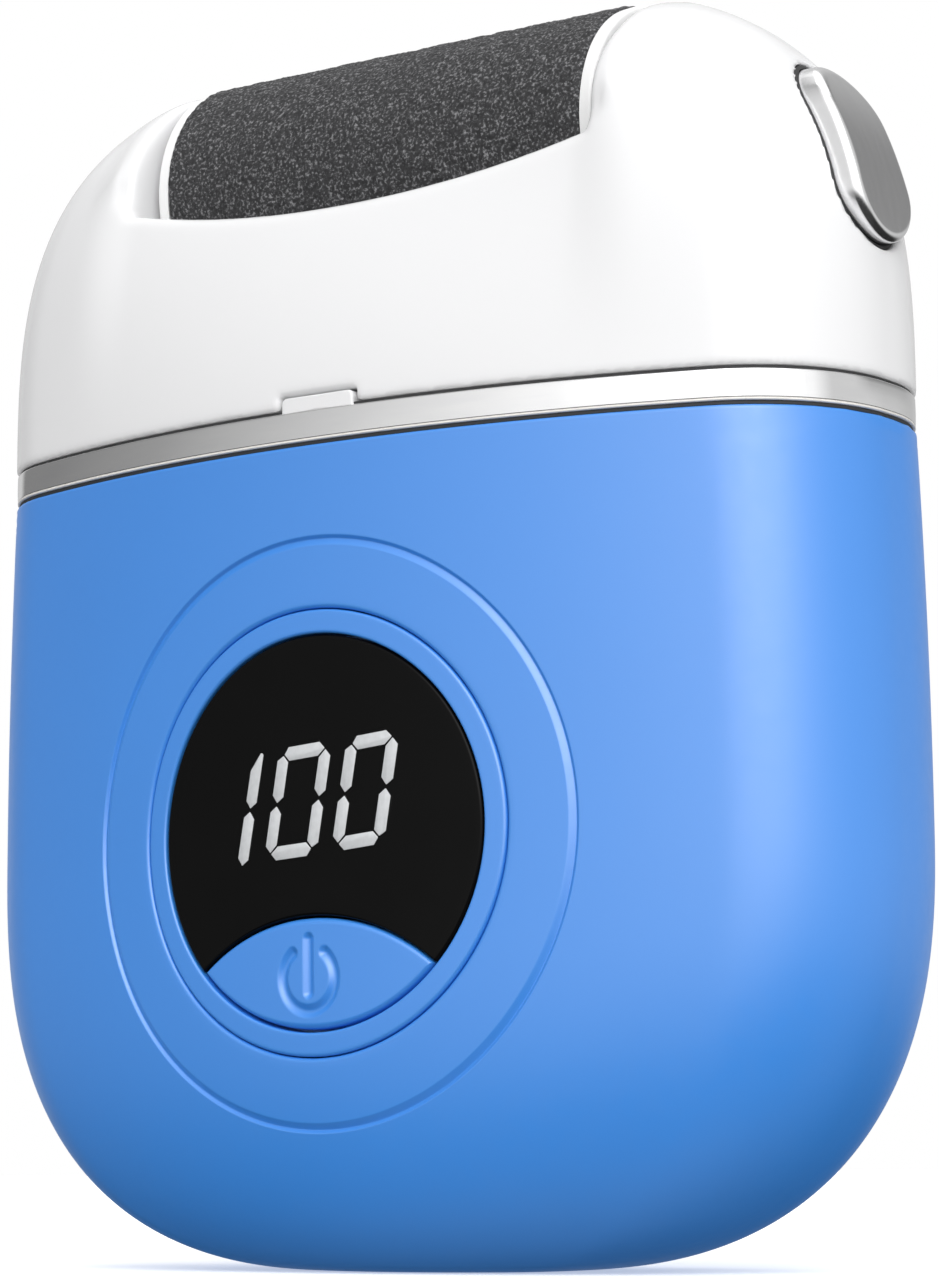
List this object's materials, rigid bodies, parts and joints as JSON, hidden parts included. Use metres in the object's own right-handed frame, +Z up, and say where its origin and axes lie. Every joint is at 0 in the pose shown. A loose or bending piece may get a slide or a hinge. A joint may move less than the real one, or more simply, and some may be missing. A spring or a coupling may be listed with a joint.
{
  "type": "electric callus remover",
  "caption": "Palm-size electric callus remover: rounded body with a round display and power button, and a head with a driven abrasive roller between two arms and a side release button.",
  "frame": {"origin": "centre of the flat base, on the surface the device stands on", "axes": "+Z up from the base to the roller, +X to the right as seen from the display side, so -Y is the display side"},
  "size_m": [0.08, 0.0342, 0.0945],
  "materials": {
    "blue_body": "satin",
    "black_rubber": "matte",
    "silver_trim": "satin",
    "white_head": "gloss",
    "frame_plastic": "matte",
    "steel": "satin",
    "brass_part": "satin",
    "black_plastic": "matte",
    "battery_wrap": "satin",
    "board": "satin",
    "dark_window": "gloss",
    "lit_digits": "satin",
    "grit": "coarse",
    "roller_plastic": "satin",
    "gear_plastic": "satin"
  },
  "bodies": {
    "housing": {"body_casing": "blue_body", "seam_gasket": "black_rubber", "trim_band": "silver_trim", "head_housing": "white_head", "head_latch_tab": "white_head", "chassis_collar": "frame_plastic", "chassis_frame": "frame_plastic", "gear_plate": "steel", "gear_cover": "frame_plastic", "idler_axles": "steel", "drive_bush": "brass_part", "idle_bush": "brass_part", "motor_can": "steel", "motor_end_cap": "black_plastic", "motor_terminals": "brass_part", "battery_cell": "battery_wrap", "battery_tabs": "steel", "main_pcb": "board", "pcb_parts": "black_plastic", "display_module": "black_plastic", "display_window": "dark_window", "display_digits": "lit_digits", "display_bezel": "blue_body", "power_switch": "black_plastic", "charge_pcb": "board", "usb_c_shell": "steel", "usb_c_tongue": "black_plastic", "head_screws": "steel", "motor_screws": "steel", "release_spring": "steel"},
    "roller": {"abrasive_sleeve": "grit", "roller_tube": "roller_plastic", "roller_cap_drive": "roller_plastic", "roller_cap_idle": "roller_plastic", "drive_spindle": "steel", "roller_gear": "gear_plastic", "idle_pin_spring": "steel"},
    "idle_pin": {"idle_pin": "steel"},
    "upper_idler": {"idler_gear_a": "gear_plastic"},
    "compound_idler": {"idler_gear_b": "gear_plastic"},
    "motor_rotor": {"motor_shaft": "steel", "motor_pinion": "brass_part"},
    "power_button": {"power_button": "blue_body"},
    "release_button": {"release_button": "silver_trim", "release_stem": "frame_plastic"}
  },
  "joints": [
    {"name": "roller_spin", "type": "hinge", "parent": "housing", "child": "roller", "pos_m": [0, 0, 0.0841], "axis": [1, 0, 0], "continuous": true},
    {"name": "upper_idler_spin", "type": "hinge", "parent": "housing", "child": "upper_idler", "pos_m": [-0.0255, 0, 0.0736], "axis": [1, 0, 0], "continuous": true},
    {"name": "compound_idler_spin", "type": "hinge", "parent": "housing", "child": "compound_idler", "pos_m": [-0.0275, 0, 0.06385], "axis": [1, 0, 0], "continuous": true},
    {"name": "motor_spin", "type": "hinge", "parent": "housing", "child": "motor_rotor", "pos_m": [-0.01, 0, 0.05335], "axis": [1, 0, 0], "continuous": true},
    {"name": "power_press", "type": "slide", "parent": "housing", "child": "power_button", "axis": [0, 1, 0], "range_m": [0, 0.0005], "stiffness_N_per_m": 3000, "springref_m": -0.0002},
    {"name": "release_press", "type": "slide", "parent": "housing", "child": "release_button", "axis": [-1, 0, 0], "range_m": [0, 0.002], "stiffness_N_per_m": 1500, "springref_m": -0.0005, "deforming": ["release_spring"]},
    {"name": "idle_pin_slide", "type": "slide", "parent": "roller", "child": "idle_pin", "axis": [-1, 0, 0], "range_m": [0, 0.002], "deforming": ["idle_pin_spring"]}
  ],
  "couplings": [
    {"joint": "upper_idler_spin", "follows": "roller_spin", "ratio": -0.75},
    {"joint": "compound_idler_spin", "follows": "roller_spin", "ratio": 1.2},
    {"joint": "motor_spin", "follows": "roller_spin", "ratio": -3},
    {"joint": "idle_pin_slide", "follows": "release_press", "ratio": 1}
  ]
}
